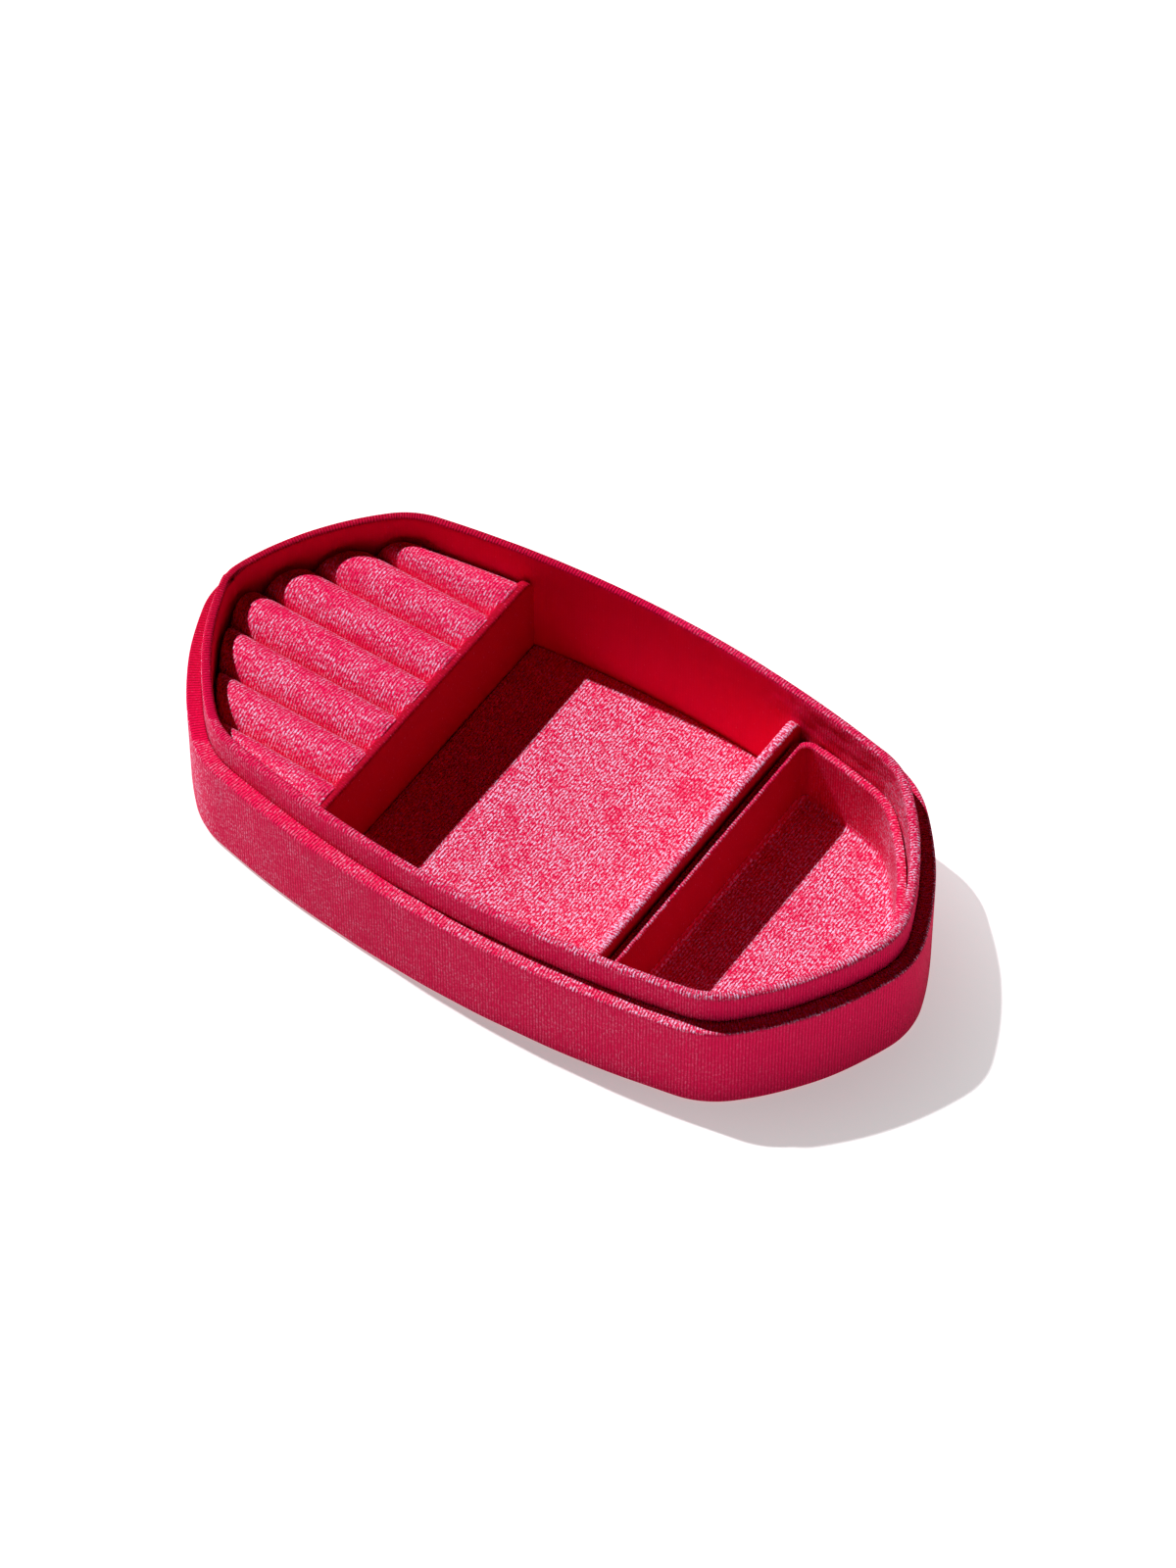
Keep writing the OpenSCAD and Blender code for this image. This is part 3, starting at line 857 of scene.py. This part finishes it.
def tray_outline(inset, step):
    """The tray's outline: the box's end inside its lining, cut off square beside the divider by a
    straight wall with rounded corners."""
    corner = np.array([tray_lo.x + tray_corner_r,
                       half_width(tray_lo.x + tray_corner_r, tray_in + tray_corner_r)])
    meets = math.degrees(math.atan2(corner[1] - side_c[1], corner[0] - side_c[0]))
    depth = tray_in + inset
    far_half = [arc(c, r - depth, a0, a1, step) for c, r, a0, a1 in box_arcs[:3]]
    far_half += [arc(side_c, side_r - depth, corner_to, meets, step),
                 arc(corner, tray_corner_r - inset, meets, 180, step)]
    return joined(far_half + [mirrored(run, y=-1) for run in far_half[::-1]], step)


tray_path = tray_outline(0, tray_step)
tray_way = lengths(tray_path[:, :2])
tray_profile = folded([
    (0, tray_lo.z, 0), (0, tray_hi.z, tray_rim_r), (tray_lining, tray_hi.z, tray_rim_r),
    (tray_lining, tray_base_top, 0), (tray_lining - velvet_t, tray_base_top, 0),
    (tray_lining - velvet_t, tray_hi.z - velvet_t, 0), (velvet_t, tray_hi.z - velvet_t, 0),
    (velvet_t, tray_lo.z, 0)], profile_step)

# The velvet is fuller near the rim, and most of all on the straight wall beside the divider.
curved_full = 0.26 * mm
straight_full = 0.5 * mm
near_rim = np.clip((tray_profile[:, 1:] - tray_hi.z + 10 * mm) / (8 * mm), 0, 1)
outside = tray_profile[:, :1] < 0.2 * mm
curved = np.where(tray_path[:, 0] > tray_lo.x + 8 * mm, curved_full, 0)
straight = straight_full * np.clip(-tray_path[:, 2] * 4 - 3, 0, 1)
tray_points = carried(tray_path, tray_profile, near_rim * outside * np.maximum(curved, straight))
tray_cover = skin("tray_cover_velvet", tray_points, tray_way[None, :],
                  lengths(tray_profile)[:, None], bolt=0.4)
# The tray takes a weaker painted highlight round its rim, and painted shade on its wall facing
# right.
paint_light(tray_cover, rim_painted_light(tray_cover) * 0.8, shade=shaded)
tray_cover.data.materials.append(wall_velvet)
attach(tray_cover, "end_tray")
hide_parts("tray_cover")

tray_floor_lo, tray_floor_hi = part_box("tray_floor_cover")
fillet = 2.0 * mm
tray_floor_path = tray_outline(tray_lining + 0.05 * mm, tray_step)
cut_edge = 0.3 * mm
cove_turn = np.radians(np.linspace(0, 90, 9))
cove_arc = np.stack([fillet * (1 - np.cos(cove_turn)),
                     tray_floor_hi.z + fillet * (1 - np.sin(cove_turn))], 1)
cove = np.vstack([[cut_edge, tray_floor_lo.z], [0, tray_floor_lo.z + cut_edge], cove_arc])
tray_floor = pad("tray_floor_velvet", tray_floor_path, cove,
                 lambda x, y: 0.05 * mm * np.sin(x * 140) * np.sin(y * 120), rings=30, bolt=0.8)
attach(tray_floor, "end_tray")
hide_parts("tray_floor_cover")

# ------------------------------------------------------------------------------------------
# Studio: the box lies on a white floor in hard sunlight from its left end, with the floor's
# own glow standing in for the fill light. The camera stands high over the near right corner with
# a long lens.

floor_reach = 8
floor_z = -0.05 * mm
sun_travel = Vector((0.735, -0.058, -1))
sun_strength = 3.9
sun_degrees = 1.2
aim = Vector((-4.3 * mm, 21.2 * mm, 0))
camera_distance = 1.8196
camera_azimuth = 34.41
camera_elevation = 51.60
camera_lens = 151.0

floor_mesh = bpy.data.meshes.new("studio_floor")
floor_mesh.from_pydata([(x * floor_reach, y * floor_reach, floor_z)
                        for x, y in ((-1, -1), (1, -1), (1, 1), (-1, 1))], [], [(0, 1, 2, 3)])
studio_floor = bpy.data.objects.new("studio_floor", floor_mesh)
bpy.context.scene.collection.objects.link(studio_floor)
floor_white, floor_tree, floor_surface = coat_of(
    "studio_white", Base_Color=(0.64, 0.64, 0.64, 1), Roughness=1.0, Specular_IOR_Level=0.0,
    Emission_Color=(1.0, 0.975, 0.985, 1))

# The glow is weaker under the box and beside it, a painted shade round the box: it rises with the
# distance from the middle, in half lengths and half widths of the box, and a little more towards
# the far side.
floor_place = wire(floor_tree, "TexCoord").outputs["Object"]
around = wire(floor_tree, "VectorMath", {0: floor_place, 1: (1 / cover_hi.x, 1 / cover_hi.y, 0)},
              operation="MULTIPLY")
far_out = wire(floor_tree, "VectorMath", {0: around.outputs[0]}, operation="LENGTH").outputs["Value"]
behind = wire(floor_tree, "SeparateXYZ", {0: around.outputs[0]}).outputs["Y"]
beside = sum_of(floor_tree, "MULTIPLY_ADD", behind, 0.2, far_out)
glow_level = wire(floor_tree, "MapRange", {0: beside, 1: 0.85, 2: 1.35, 3: 0.40, 4: 0.70})
floor_tree.links.new(glow_level.outputs[0], floor_surface.inputs["Emission Strength"])
floor_mesh.materials.append(floor_white)

sun_lamp = bpy.data.lights.new("sun", "SUN")
sun_lamp.energy = sun_strength
sun_lamp.angle = math.radians(sun_degrees)
sun = bpy.data.objects.new("sun", sun_lamp)
sun.rotation_mode = "QUATERNION"
sun.rotation_quaternion = sun_travel.to_track_quat("-Z", "Y")
bpy.context.scene.collection.objects.link(sun)

sky = bpy.data.worlds.new("studio_sky")
sky.use_nodes = True
air = sky.node_tree
seen = wire(air, "LightPath").outputs["Is Camera Ray"]
glow = wire(air, "Mix", {0: seen, 6: (0.002, 0.002, 0.002, 1), 7: (1, 1, 1, 1)}, data_type="RGBA")
air.links.new(glow.outputs[2], air.nodes["Background"].inputs["Color"])
bpy.context.scene.world = sky
bpy.context.scene.view_settings.view_transform = "Standard"

azimuth, elevation = math.radians(camera_azimuth), math.radians(camera_elevation)
back = Vector((math.sin(azimuth) * math.cos(elevation), -math.cos(azimuth) * math.cos(elevation),
               math.sin(elevation)))
lens = bpy.data.cameras.new("camera")
lens.lens = camera_lens
camera = bpy.data.objects.new("camera", lens)
camera.location = aim + back * camera_distance
camera.rotation_mode = "QUATERNION"
camera.rotation_quaternion = (-back).to_track_quat("-Z", "Y")
bpy.context.scene.collection.objects.link(camera)
bpy.context.scene.camera = camera
